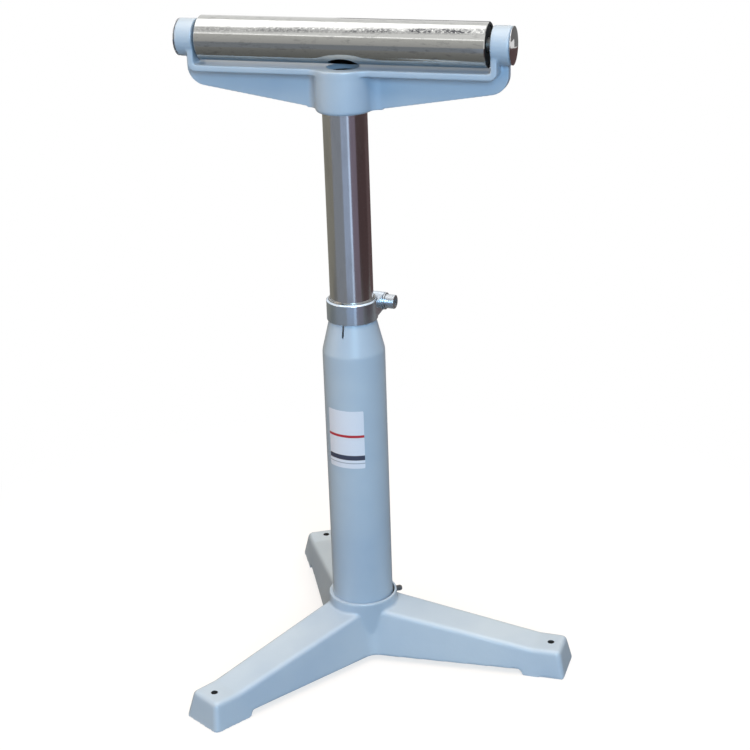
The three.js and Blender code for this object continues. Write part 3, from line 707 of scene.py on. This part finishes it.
def band(place, bottom, top, soft=0.15 * MM):
    """1 between two heights and 0 elsewhere."""
    height = place.add("ShaderNodeSeparateXYZ", inputs={0: place}, output="Z")
    rise = height.add("ShaderNodeMapRange", inputs={0: height, 1: bottom - soft, 2: bottom + soft})
    fall = height.add("ShaderNodeMapRange", inputs={0: height, 1: top - soft, 2: top + soft})
    return rise - fall


def sticker_paper():
    """Coated white paper with three printed lines: satin, a little uneven, faintly fibrous."""
    material, skin, place = new_finish("sticker_paper")
    fibre = noise(place, 700.0, 3.0)
    paper = mixed(fibre, linear(206, 213, 229), linear(214, 220, 234))
    paper = mixed(band(place, *RED_RULE), paper, linear(176, 44, 56))
    paper = mixed(band(place, *DARK_BAR), paper, linear(58, 62, 82))
    paper = mixed(band(place, *GREY_LINE), paper, linear(150, 160, 178))
    place.feed(skin.inputs["Base Color"], paper)
    place.feed(skin.inputs["Roughness"], 0.36 + 0.12 * fibre)
    place.feed(skin.inputs["Normal"], bumpy(fibre, 0.2, 0.00002))
    return material


dressed(sticker, sticker_paper(), "stand", "paint")


# Clamp: a split ring of bright zinc-plated steel round the column's neck. Lugs behind it carry a socket-head
# screw with a plain washer under its head, and the screw draws the split together to grip the mast.
RING_BORE, RING, RING_BOTTOM, RING_TOP, RING_CHAMFER = 29.9 * MM, 32.4 * MM, 471 * MM, 498 * MM, 1.5 * MM
LUG, LUG_OUT, LUG_HEIGHT, LUG_HALF, SPLIT = 11.4 * MM, 38.8 * MM, 483.5 * MM, 29 * MM, 3.5 * MM
GUSSET_FOOT, GUSSET_HALF_HEIGHT, CLAMP_HOLE = 4 * MM, 10.5 * MM, 6.2 * MM
GUSSET_SINK, LUG_SINK, LUG_GRAIN = 0.5 * MM, 0.6 * MM, 0.8 * MM


def across_lugs(piece, out=0.0):
    """Lays a piece along the clamp's screw, `out` from the middle of the lugs towards the screw's head."""
    return settle(piece, 0, (LUG_OUT, -out, LUG_HEIGHT), (QUARTER, 0))


ring_lugs = across_lugs(drum("ring_lugs", LUG, -LUG_HALF, LUG_HALF, 64))
low, high = LUG_HEIGHT - GUSSET_HALF_HEIGHT, LUG_HEIGHT + GUSSET_HALF_HEIGHT
gusset = block(
    "gusset", ((GUSSET_FOOT, RING - GUSSET_SINK, low), (GUSSET_FOOT, RING - GUSSET_SINK, high)),
    ((LUG_OUT, LUG_HALF - MM, low), (LUG_OUT, LUG_HALF - MM, high)),
)
carve(ring_lugs, gusset, "UNION")
cast(ring_lugs, LUG_GRAIN, 4)
carve(ring_lugs, drum("ring_bore", RING - LUG_SINK, RING_BOTTOM - MM, RING_TOP + MM, 128), "DIFFERENCE")
ring = turned("split_ring", [
    (RING_BORE, RING_BOTTOM), (RING - RING_CHAMFER / 2, RING_BOTTOM), (RING, RING_BOTTOM + RING_CHAMFER / 2),
    (RING, RING_TOP - RING_CHAMFER), (RING - RING_CHAMFER, RING_TOP), (RING_BORE, RING_TOP),
], 128, hollow=True)
break_edges(ring, 0.25 * MM, sharper=25)
carve(ring, ring_lugs, "UNION")
split = block(
    "split", ((0, SPLIT / 2, RING_BOTTOM - MM), (0, SPLIT / 2, RING_TOP + MM)),
    ((2 * LUG_OUT, SPLIT / 2, RING_BOTTOM - MM), (2 * LUG_OUT, SPLIT / 2, RING_TOP + MM)),
)
carve(ring, split, "DIFFERENCE")
screw_way = drum("screw_way", CLAMP_HOLE, -2 * LUG_HALF, 2 * LUG_HALF, 48)
carve(ring, across_lugs(screw_way), "DIFFERENCE")
settle(ring, CLAMP_ANGLE)
smooth(ring, 32)


def zinc(name, dark, light, roughness, cloud):
    """Zinc plate: soft cloudy spangle, fine rubbed lines and a satin shine; faces that look up are duller and
    painted paler, as painted light from above.
    """
    material, skin, place = new_finish(name)
    spangle = cloud * ramp(noise(place, 160.0, 3.0), (0.35, 0.0), (0.65, 1.0))
    rubbed = noise(place, 1.0, 2.0, 0.5, (260, 260, 2600))
    # Faces that look up take the pale colour and a duller finish: painted light from above.
    facing = place.add("ShaderNodeTexCoord", output="Normal")
    facing = place.add("ShaderNodeSeparateXYZ", inputs={0: facing}, output="Z")
    painted_top_light = place.add("ShaderNodeMapRange", inputs={0: facing, 1: 0.8, 2: 0.95})
    place.feed(skin.inputs["Base Color"], mixed(spangle | painted_top_light, dark, light))
    place.feed(skin.inputs["Roughness"], roughness + 0.08 * spangle + 0.1 * rubbed + 0.3 * painted_top_light)
    place.feed(skin.inputs["Normal"], bumpy(rubbed, 0.5, 0.00003))
    skin.inputs["Metallic"].default_value = 1.0
    return material


ring_zinc = zinc("ring_zinc", linear(214, 228, 244), linear(224, 232, 240), 0.13, 0.25)
dressed(ring, ring_zinc, "stand", "zinc", "clamp_ring")

SCREW, SCREW_HEAD, SCREW_HEAD_HIGH, SCREW_TIP, SCREW_EDGE = 5.85 * MM, 9 * MM, 12 * MM, 32 * MM, 1 * MM
SCREW_SOCKET, SCREW_SOCKET_DEPTH, SCREW_PITCH, SCREW_THREAD = 10 * MM, 6 * MM, 1.75 * MM, 0.9 * MM
WASHER, WASHER_THICK, FIT = 11 * MM, 1.8 * MM, 0.3 * MM
head_gap = LUG_HALF + 2 * FIT + WASHER_THICK
shank = head_gap + SCREW_TIP
head_round = 0.3 * SCREW_EDGE
clamp_screw = turned("cap_screw", [
    (SCREW - SCREW_EDGE, -shank), *threaded(SCREW, SCREW_EDGE - shank, -head_gap, SCREW_PITCH, SCREW_THREAD),
    (SCREW, MM / 2 - head_gap), (SCREW, 0), (SCREW_HEAD, 0), (SCREW_HEAD, SCREW_HEAD_HIGH - SCREW_EDGE),
    (SCREW_HEAD - head_round, SCREW_HEAD_HIGH - head_round), (SCREW_HEAD - SCREW_EDGE, SCREW_HEAD_HIGH),
], 64)
hex_socket(clamp_screw, SCREW_SOCKET, SCREW_HEAD_HIGH - SCREW_SOCKET_DEPTH, SCREW_HEAD_HIGH)
washer = turned("plain_washer", [
    (CLAMP_HOLE, 0), (WASHER, 0), (WASHER, WASHER_THICK), (CLAMP_HOLE, WASHER_THICK),
], 64, hollow=True)
break_edges(washer, 0.3 * MM)
for piece, out in ((clamp_screw, head_gap), (washer, LUG_HALF + FIT)):
    settle(across_lugs(piece, out), CLAMP_ANGLE)
    smooth(piece, 32)
screw_zinc = zinc("screw_zinc", linear(192, 196, 200), linear(208, 210, 212), 0.28, 0.3)
dressed(clamp_screw, screw_zinc, "clamp_screw", "zinc", "clamp_screw")
dressed(washer, screw_zinc, "clamp_screw", "zinc", "clamp_washer")


# Mast: a ground and chromed tube that slides and turns in the column. Inside the column, a nylon bush on its
# lower end keeps it central, held by a snap ring in a groove, which is also its upper stop.
MAST, MAST_BORE, MAST_BOTTOM, MAST_TOP = 27.5 * MM, 23.5 * MM, 242 * MM, 783.7 * MM
GROOVE, GROOVE_BOTTOM, GROOVE_TOP = 26.3 * MM, 243.7 * MM, 246.7 * MM

mast = turned("mast", [
    (MAST_BORE, MAST_BOTTOM), (MAST, MAST_BOTTOM), (MAST, GROOVE_BOTTOM), (GROOVE, GROOVE_BOTTOM),
    (GROOVE, GROOVE_TOP), (MAST, GROOVE_TOP), (MAST, MAST_TOP), (MAST_BORE, MAST_TOP),
], 160, hollow=True)
break_edges(mast, 0.4 * MM)
smooth(mast)


def chrome():
    """Hard chrome on a ground tube: mirror-bright, with hairlines along it and faint rubbed patches."""
    material, skin, place = new_finish("chrome")
    hairs = noise(place, 1.0, 2.0, 0.6, (900, 900, 6))
    rubbed = ramp(noise(place, 1.0, 4.0, 0.55, (60, 60, 14)), (0.5, 0.0), (0.8, 1.0))
    place.feed(skin.inputs["Base Color"], mixed(rubbed, linear(214, 215, 218), linear(196, 196, 198)))
    place.feed(skin.inputs["Roughness"], 0.11 + 0.06 * hairs + 0.06 * rubbed)
    ripples = noise(place, 1.0, 3.0, 0.6, (120, 120, 420))
    place.feed(skin.inputs["Normal"], bumpy(ripples, 0.4, 0.00001, bumpy(hairs, 0.15, 0.00002)))
    skin.inputs["Metallic"].default_value = 1.0
    return material


dressed(mast, chrome(), "mast", "chrome", "mast_tube")


def nylon():
    """Black moulded nylon: matt, slightly mottled, with a fine moulded grain."""
    material, skin, place = new_finish("nylon")
    mottle = noise(place, 120.0, 3.0)
    place.feed(skin.inputs["Base Color"], mixed(mottle, linear(36, 38, 41), linear(50, 52, 55)))
    place.feed(skin.inputs["Roughness"], 0.5 + 0.15 * mottle)
    place.feed(skin.inputs["Normal"], bumpy(noise(place, 1500.0), 0.4, 0.00003))
    return material


def spring_steel():
    """Oiled spring steel: dark grey metal with a blue-brown bloom."""
    material, skin, place = new_finish("spring_steel")
    bloom = noise(place, 200.0, 3.0)
    place.feed(skin.inputs["Base Color"], mixed(bloom, linear(88, 90, 98), linear(108, 102, 96)))
    place.feed(skin.inputs["Roughness"], 0.3 + 0.15 * bloom)
    skin.inputs["Metallic"].default_value = 1.0
    return material


def repaint(material, *nodes):
    """Gives CAD nodes that keep their own shape a better material."""
    for node in nodes:
        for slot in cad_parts[node].material_slots:
            slot.material = material


spring = spring_steel()
repaint(nylon(), "mast_guide_bush")
repaint(spring, "mast_snap_ring")


# Yoke: one iron casting, enamelled like the base. A strap lies under the roller and turns up at both ends
# into bearing bosses, a tapering web stiffens it below, and the socket in the middle sits on the mast's end.
# The socket, the hole above it, the bearing seats and the hole for its screw are machined.
SIDES = {"left": -1, "right": 1}
AXIS, STRAP_IN, STRAP_OUT, STRAP_HALF = 821 * MM, 185 * MM, 193 * MM, 20 * MM
STRAP_BOTTOM, STRAP_TOP, STRAP_CORNER, STRAP_HOLLOW = 782.5 * MM, 790.5 * MM, 10 * MM, 3 * MM
WEB_HALF, WEB_NEAR, WEB_NEAR_Z, WEB_FAR, WEB_FAR_Z = 6 * MM, 32 * MM, 738 * MM, 202.5 * MM, 764.8 * MM
WEB_ROOT, WEB_TOP, WEB_BEND, WEB_BACK = 786 * MM, 806 * MM, 20.5 * MM, 7 * MM
SOCKET_OUT, SOCKET_BOTTOM, SOCKET_EDGE = 35.5 * MM, 737.5 * MM, 4 * MM
BULGE_BLEND, ROOT_BLEND, SINK = 25 * MM, 14 * MM, 0.1 * MM
END_BOSS, END_OUT, END_EDGE, YOKE_GRAIN = 23 * MM, 207.5 * MM, 1.5 * MM, 1.2 * MM


def along_axle(piece, side=1):
    """Lays an upright piece along the roller's axis, pointing right for side 1 and left for -1."""
    return settle(piece, 0, (0, 0, AXIS), (0, side * QUARTER))


def blend_to_socket(name, face, side, radius, middle, bottom, top):
    """A hollow round of this radius between the socket and a face at y = `face` that looks to `side` of Y."""
    centre = face + side * (radius - SINK)
    reach = SOCKET_OUT + radius
    across = math.sqrt(reach ** 2 - centre ** 2)
    touch = centre * SOCKET_OUT / reach
    piece = settle(bar(name, across, abs(touch - middle) / 2, bottom, top), 0, (0, (touch + middle) / 2, 0))
    for x in (-across, across):
        carve(piece, drum("scoop", radius, bottom - MM, top + MM, 96, (x, centre)), "DIFFERENCE")
    return piece


yoke = bar("yoke", STRAP_OUT, STRAP_HALF, STRAP_BOTTOM, AXIS)
bevelled(yoke, lambda c: abs(c.x) > STRAP_OUT - HAIR and c.z < STRAP_BOTTOM + HAIR, STRAP_CORNER, 8)
for turn in (0, math.pi):
    web = block(
        "web", ((WEB_NEAR, WEB_HALF, WEB_NEAR_Z), (WEB_NEAR, WEB_HALF, WEB_ROOT)),
        ((WEB_FAR, WEB_HALF, WEB_FAR_Z), (WEB_FAR, WEB_HALF, WEB_TOP)),
    )
    bevelled(web, lambda c: c.x > WEB_FAR - HAIR and c.z < WEB_FAR_Z + HAIR, WEB_BEND, 10)
    carve(yoke, settle(web, turn, (0, WEB_BACK, 0)), "UNION")
socket = drum("socket", SOCKET_OUT, SOCKET_BOTTOM, STRAP_TOP - 2 * MM, 96)
bevelled(socket, lambda c: c.z < SOCKET_BOTTOM + HAIR and math.hypot(c.x, c.y) > MM, SOCKET_EDGE, 5)
carve(yoke, socket, "UNION")
carve(yoke, drum("bulge", SOCKET_OUT + SINK, STRAP_BOTTOM + SINK, STRAP_TOP - SINK, 96), "UNION")
bulge_levels, root_levels = (STRAP_BOTTOM + 2 * SINK, STRAP_TOP - 2 * SINK), (WEB_NEAR_Z + MM, WEB_ROOT)
for side in SIDES.values():
    strap_face, web_face = side * STRAP_HALF, WEB_BACK + side * WEB_HALF
    carve(yoke, blend_to_socket("bulge_blend", strap_face, side, BULGE_BLEND, 0, *bulge_levels), "UNION")
    carve(yoke, blend_to_socket("root_blend", web_face, side, ROOT_BLEND, WEB_BACK, *root_levels), "UNION")
for side in SIDES.values():
    boss = drum("boss", END_BOSS, STRAP_IN, END_OUT, 96)
    bevelled(boss, lambda c: c.z > END_OUT - HAIR and math.hypot(c.x, c.y) > MM, END_EDGE, 3)
    carve(yoke, along_axle(boss, side), "UNION")
hollow = bar("hollow", STRAP_IN, 2 * STRAP_HALF, STRAP_TOP, AXIS + 2 * END_BOSS)
bevelled(hollow, lambda c: abs(c.x) > STRAP_IN - HAIR and c.z < STRAP_TOP + HAIR, STRAP_HOLLOW, 5)
carve(yoke, hollow, "DIFFERENCE")
cast(yoke, YOKE_GRAIN, 4)

SOCKET_BORE, SOCKET_TOP, STRAP_HOLE, YOKE_GRUB_HEIGHT = 27.8 * MM, 784 * MM, 20 * MM, 760 * MM
AXLE_HOLE, BEARING_SEAT, CAP_SEAT = 10 * MM, 17.8 * MM, 19.3 * MM
AXLE_HOLE_END, SEAT_END = 192 * MM, 203.7 * MM
carve(yoke, drum("socket_bore", SOCKET_BORE, SOCKET_BOTTOM - MM, SOCKET_TOP, 128), "DIFFERENCE")
carve(yoke, drum("strap_hole", STRAP_HOLE, SOCKET_TOP - MM, STRAP_TOP + MM, 96), "DIFFERENCE")
for side in SIDES.values():
    seat = turned("bearing_seat", [
        (AXLE_HOLE, STRAP_IN - MM), (AXLE_HOLE, AXLE_HOLE_END), (BEARING_SEAT, AXLE_HOLE_END),
        (BEARING_SEAT, SEAT_END), (CAP_SEAT, SEAT_END), (CAP_SEAT, END_OUT + MM),
    ])
    carve(yoke, along_axle(seat, side), "DIFFERENCE")
grub_hole = drum("grub_hole", SCREW_HOLE, DRILL_START, DRILL_END, 32)
carve(yoke, settle(grub_hole, QUARTER, (0, 0, YOKE_GRUB_HEIGHT), (0, QUARTER)), "DIFFERENCE")
smooth(yoke)
dressed(yoke, cast_enamel, "mast", "paint", "yoke_casting")

YOKE_GRUB, YOKE_GRUB_START = 7.5 * MM, 27.8 * MM
yoke_screw = grub_screw("yoke_screw", YOKE_GRUB)
settle(yoke_screw, QUARTER, (0, YOKE_GRUB_START, YOKE_GRUB_HEIGHT), (0, QUARTER))
dressed(yoke_screw, blackened, "mast", "black_oxide", "yoke_set_screw")


# Bearings: a deep-groove ball bearing in each boss, on the axle's journals and held by circlips. The rings
# are ground steel and the balls run in a pressed cage.
def bearing_steel():
    """Ground bearing steel: bright, with faint grinding rings and a thin film of grease."""
    material, skin, place = new_finish("bearing_steel")
    rings = noise(place, 1.0, 2.0, 0.5, (2400, 60, 60))
    grease = ramp(noise(place, 130.0, 3.0), (0.45, 0.0), (0.7, 1.0))
    place.feed(skin.inputs["Base Color"], mixed(grease, linear(188, 188, 186), linear(158, 152, 138)))
    place.feed(skin.inputs["Roughness"], 0.16 + 0.08 * rings + 0.12 * grease)
    place.feed(skin.inputs["Normal"], bumpy(rings, 0.2, 0.00002))
    skin.inputs["Metallic"].default_value = 1.0
    return material


ground = bearing_steel()
for name in SIDES:
    repaint(ground, f"bearing_outer_race_{name}", f"bearing_inner_race_{name}", f"bearing_ball_cage_{name}")
    repaint(spring, f"axle_circlip_{name}")


# Roller: a turned and polished steel tube with a black plate pressed into each end, on a steel axle that
# turns with it. Its flat ends are painted with the plates, and a dull dark row runs along it at a fixed angle
# round the axis: partly scuffs, partly a painted reflection.
ROLLER, ROLLER_BORE, ROLLER_HALF, ROLLER_CHAMFER = 27 * MM, 23 * MM, 180 * MM, 0.8 * MM
DISC_HOLE, DISC, DISC_IN, DISC_OUT = 9.3 * MM, 22.7 * MM, 170.5 * MM, 178.5 * MM
AXLE, JOURNAL, SHOULDER, AXLE_END, AXLE_EDGE = 9 * MM, 7.2 * MM, 192 * MM, 205.6 * MM, 0.6 * MM
CLIP_GROOVE, CLIP_IN, CLIP_OUT = 6.6 * MM, 203.45 * MM, 204.85 * MM
DARK_ROW_AT, DARK_ROW_HALF, DARK_ROW_SLANT = math.radians(39), math.radians(11), math.radians(7) / ROLLER_HALF
DARK_ROW_MIDDLE, DARK_ROW_RISE = 0.95, 0.5 / ROLLER_HALF

end_radius, straight_half = ROLLER - ROLLER_CHAMFER, ROLLER_HALF - ROLLER_CHAMFER
roller = turned("roller", [
    (ROLLER_BORE, -ROLLER_HALF), (end_radius, -ROLLER_HALF), (ROLLER, -straight_half),
    (ROLLER, straight_half), (end_radius, ROLLER_HALF), (ROLLER_BORE, ROLLER_HALF),
], 160, hollow=True)
smooth(along_axle(roller), 25)


def polished_steel():
    """Turned and polished steel: fine rings round the axis, slow waves along it, and a dull dark row that is
    partly wear and partly a painted reflection.
    """
    material, skin, place = new_finish("polished_steel")
    rings = noise(place, 1.0, 2.0, 0.6, (1500, 30, 30))
    waves = noise(place, 1.0, 3.0, 0.6, (45, 160, 160))
    along, across, up = [place.add("ShaderNodeSeparateXYZ", inputs={0: place}, output=axis) for axis in "XYZ"]
    # A darker, rougher row at a fixed angle round the axis: partly scuffs, partly a painted reflection band.
    round_axis = place.math("ARCTAN2", up - AXIS, 0 - across)
    off_row = place.math("ABSOLUTE", round_axis - DARK_ROW_AT - DARK_ROW_SLANT * along, 0)
    row = place.add("ShaderNodeMapRange", inputs={0: off_row, 1: DARK_ROW_HALF, 2: DARK_ROW_HALF / 3})
    grain = ramp(noise(place, 1.0, 5.0, 0.75, (330, 520, 520)), (0.36, 0.0), (0.56, 1.0))
    patches = ramp(noise(place, 1.0, 2.0, 0.5, (28, 60, 60)), (0.3, 0.4), (0.6, 1.0))
    dark_row = row * grain * patches * (DARK_ROW_MIDDLE + DARK_ROW_RISE * along)
    stains = ramp(noise(place, 1.0, 4.0, 0.6, (70, 240, 240)), (0.55, 0.0), (0.75, 1.0))
    dull = dark_row | 0.35 * stains
    place.feed(skin.inputs["Base Color"], mixed(dull, linear(198, 198, 195), linear(70, 70, 73)))
    place.feed(skin.inputs["Roughness"], 0.09 + 0.05 * rings + 0.3 * dull)
    place.feed(skin.inputs["Normal"], bumpy(waves, 0.25, 0.00006, bumpy(rings, 0.15, 0.00001)))
    skin.inputs["Metallic"].default_value = 1.0
    return material


def black_plate():
    """Steel plate in matt black paint: slightly patchy, with a sprayed grain."""
    material, skin, place = new_finish("black_plate")
    patch = noise(place, 90.0, 3.0)
    place.feed(skin.inputs["Base Color"], mixed(patch, linear(10, 10, 12), linear(22, 22, 24)))
    place.feed(skin.inputs["Roughness"], 0.55 + 0.2 * patch)
    place.feed(skin.inputs["Normal"], bumpy(noise(place, 1600.0), 0.4, 0.00003))
    return material


dressed(roller, polished_steel(), "roller", "roller_steel", "roller_tube")
plate = black_plate()
patched(roller, plate, lambda face: abs(face.normal.x) > 0.9)
for name, side in SIDES.items():
    disc = turned(f"roller_end_{name}", [
        (DISC_HOLE, DISC_IN), (DISC, DISC_IN), (DISC, DISC_OUT), (DISC_HOLE, DISC_OUT),
    ], 96, hollow=True)
    break_edges(disc, 0.5 * MM)
    smooth(along_axle(disc, side))
    dressed(disc, plate, "roller", "dark_disc", f"roller_end_disc_{name}")

half_axle = [
    (AXLE, SHOULDER - AXLE_EDGE), (AXLE - AXLE_EDGE, SHOULDER), (JOURNAL, SHOULDER), (JOURNAL, CLIP_IN),
    (CLIP_GROOVE, CLIP_IN), (CLIP_GROOVE, CLIP_OUT), (JOURNAL, CLIP_OUT), (JOURNAL, AXLE_END - AXLE_EDGE / 2),
    (JOURNAL - AXLE_EDGE / 2, AXLE_END),
]
axle = turned("axle", [(radius, -x) for radius, x in reversed(half_axle)] + half_axle, 96)
smooth(along_axle(axle))
axle_steel = bare_steel("axle_steel", (2000, 30, 30), 0.22)
dressed(axle, axle_steel, "roller", "steel", "roller_axle")


# Dust caps: thin domed caps of bright pressed steel that keep dirt out of the bearings. A skirt fits the
# boss's mouth, and the wider domed head covers the boss's end.
CAP, CAP_SKIRT, CAP_IN, CAP_RIM = 22.6 * MM, 19 * MM, 204.3 * MM, 207.8 * MM
CAP_WALL, CAP_EDGE, CAP_TIP, CAP_STEPS, CAP_MIDDLE = 1.2 * MM, 0.5 * MM, 212 * MM, 12, 0.2


def dome(radius, foot, rise):
    """Rings of a shallow dome that starts at `foot` and all but closes in its middle."""
    shares = [1 - i / CAP_STEPS for i in range(CAP_STEPS)] + [CAP_MIDDLE / CAP_STEPS]
    return [(radius * share, foot + rise * (1 - share ** 2)) for share in shares]


def bright_cap():
    """Plated pressed steel: mirror-bright, with a few fine scratches."""
    material, skin, place = new_finish("bright_cap")
    scratches = ramp(noise(place, 1.0, 4.0, 0.6, (400, 2200, 300)), (0.6, 0.0), (0.7, 1.0))
    place.feed(skin.inputs["Base Color"], mixed(scratches, linear(206, 205, 206), linear(180, 178, 178)))
    place.feed(skin.inputs["Roughness"], 0.06 + 0.12 * scratches)
    place.feed(skin.inputs["Normal"], bumpy(scratches, 0.1, 0.00001))
    skin.inputs["Metallic"].default_value = 1.0
    return material


plated = bright_cap()
foot = CAP_RIM + CAP_WALL
for name, side in SIDES.items():
    inside = dome(CAP_SKIRT - CAP_WALL, foot, CAP_TIP - CAP_WALL - foot)[::-1]
    skirt = [(CAP_SKIRT - CAP_WALL, CAP_IN), (CAP_SKIRT, CAP_IN), (CAP_SKIRT, CAP_RIM)]
    rim = [(CAP - CAP_EDGE, CAP_RIM), (CAP, CAP_RIM + CAP_EDGE), (CAP, foot - CAP_EDGE / 2)]
    outside = dome(CAP - CAP_EDGE, foot, CAP_TIP - foot)
    cap = turned(f"bearing_cap_{name}", inside + skirt + rim + outside, 96)
    smooth(along_axle(cap, side), 40)
    dressed(cap, plated, "mast", "bright_cap", f"dust_cap_{name}")
